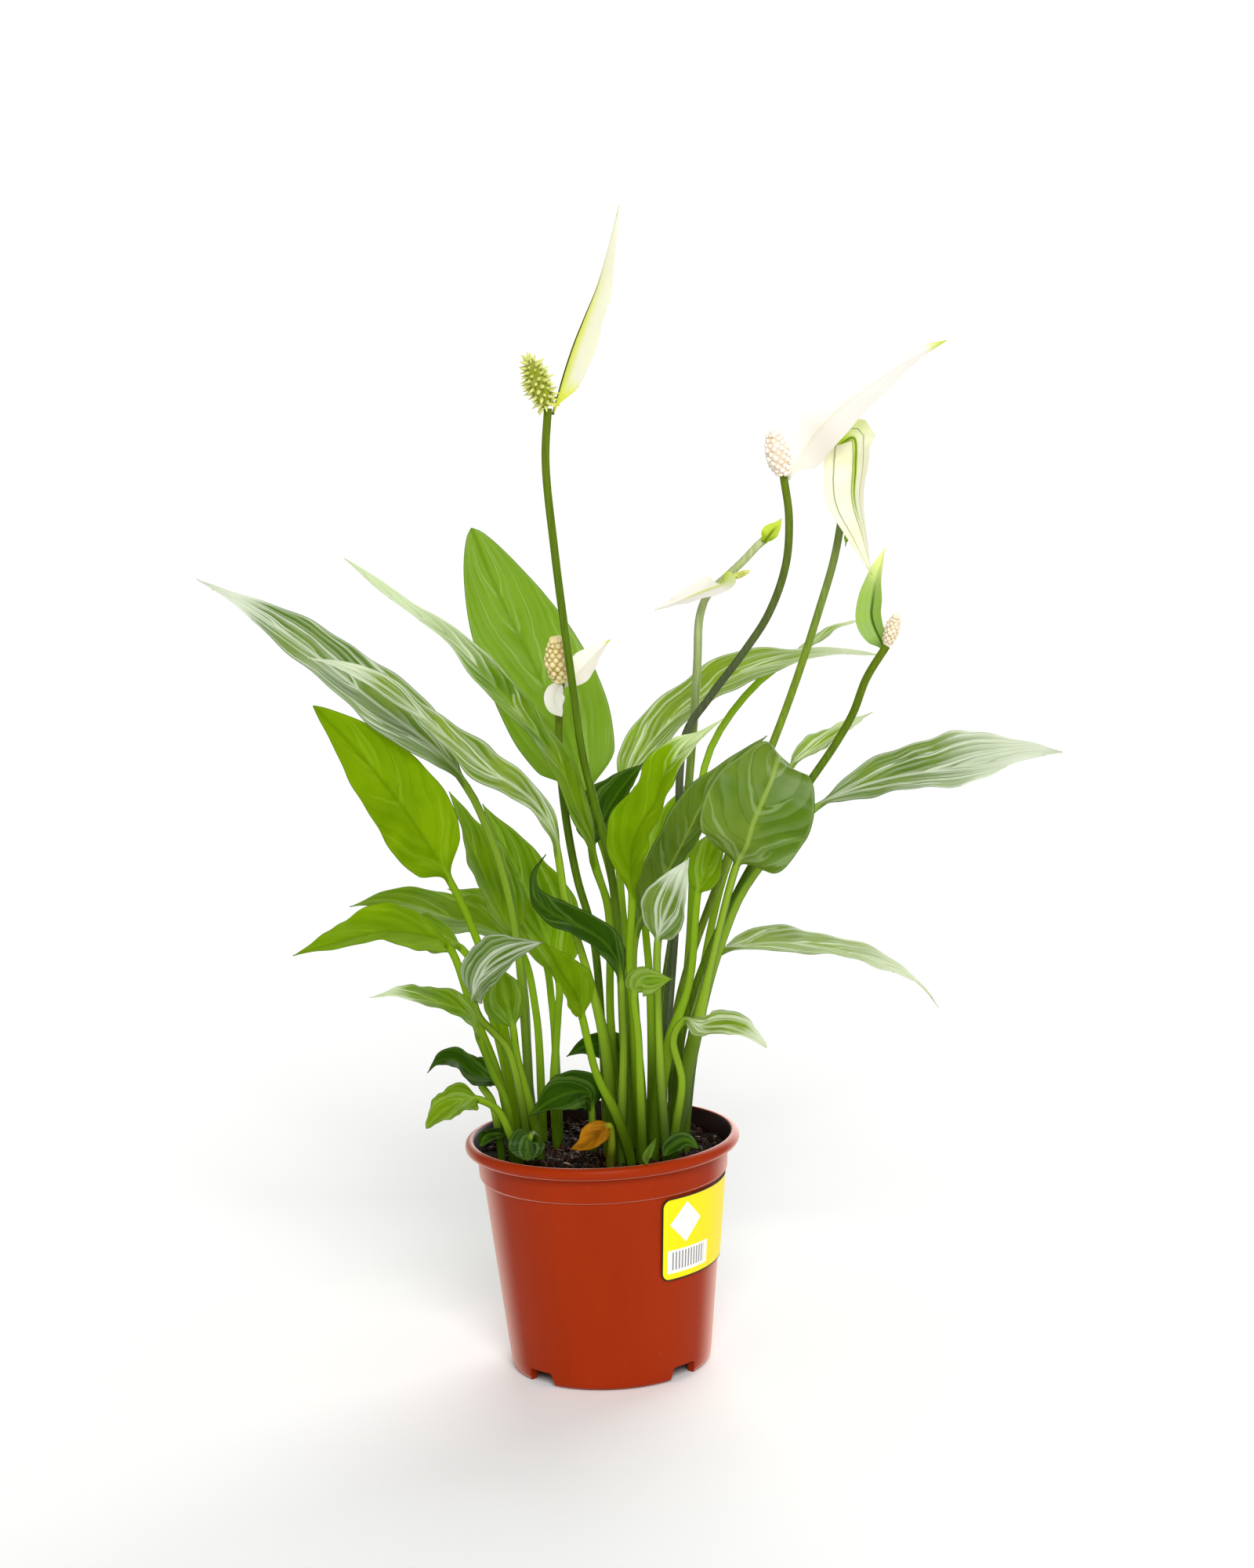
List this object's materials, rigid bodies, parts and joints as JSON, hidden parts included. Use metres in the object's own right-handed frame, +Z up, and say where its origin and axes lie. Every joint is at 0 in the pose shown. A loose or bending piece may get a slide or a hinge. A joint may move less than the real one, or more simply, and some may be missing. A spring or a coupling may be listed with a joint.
{
  "type": "potted peace lily",
  "caption": "Flowering peace lily with long arching leaves and white spathes, standing in peat in a round terracotta-coloured plastic pot.",
  "frame": {"origin": "middle of the object's outline seen from above, at the height of the pot's foot, so the pot's own axis lies about 19 mm to -X of it", "axes": "+Z up along the plant's height, -Y towards the side the picture shows, +X to that view's right"},
  "size_m": [0.3494, 0.229, 0.4991],
  "materials": {
    "pot": "satin injection-moulded polypropylene, terracotta orange-brown",
    "soil": "moist dark peat with pale fibres",
    "sticker": "glossy printed yellow film label",
    "leaf": "waxy satin leaf, darker above and paler below",
    "stem": "smooth waxy green stem",
    "spathe": "soft matt petal, ivory with green keel and tip",
    "spadix": "matt, covered in small florets"
  },
  "bodies": {
    "root": {"flower_1_spadix": "spadix", "flower_1_spathe": "spathe", "flower_1_stem": "stem", "flower_2_spadix": "spadix", "flower_2_spathe": "spathe", "flower_2_stem": "stem", "flower_3_spadix": "spadix", "flower_3_spathe": "spathe", "flower_3_stem": "stem", "flower_4_spadix": "spadix", "flower_4_spathe": "spathe", "flower_4_stem": "stem", "flower_5_spadix": "spadix", "flower_5_spathe": "spathe", "flower_5_stem": "stem", "flower_6_spadix": "spadix", "flower_6_spathe": "spathe", "flower_6_stem": "stem", "flower_7_spadix": "spadix", "flower_7_spathe": "spathe", "flower_7_stem": "stem", "leaf_01": "leaf", "leaf_02": "leaf", "leaf_03": "leaf", "leaf_04": "leaf", "leaf_05": "leaf", "leaf_06": "leaf", "leaf_07": "leaf", "leaf_08": "leaf", "leaf_09": "leaf", "leaf_10": "leaf", "leaf_11": "leaf", "leaf_12": "leaf", "leaf_13": "leaf", "leaf_14": "leaf", "leaf_15": "leaf", "leaf_16": "leaf", "leaf_17": "leaf", "leaf_18": "leaf", "leaf_19": "leaf", "leaf_20": "leaf", "leaf_21": "leaf", "leaf_22": "leaf", "leaf_23": "leaf", "leaf_24": "leaf", "leaf_25": "leaf", "leaf_26": "leaf", "leaf_27": "leaf", "leaf_28": "leaf", "leaf_29": "leaf", "leaf_30": "leaf", "leaf_31": "leaf", "leaf_32": "leaf", "leaf_33": "leaf", "leaf_34": "leaf", "leaf_35": "leaf", "leaf_36": "leaf", "pot": "pot", "soil": "soil", "sticker": "sticker"}
  },
  "joints": []
}
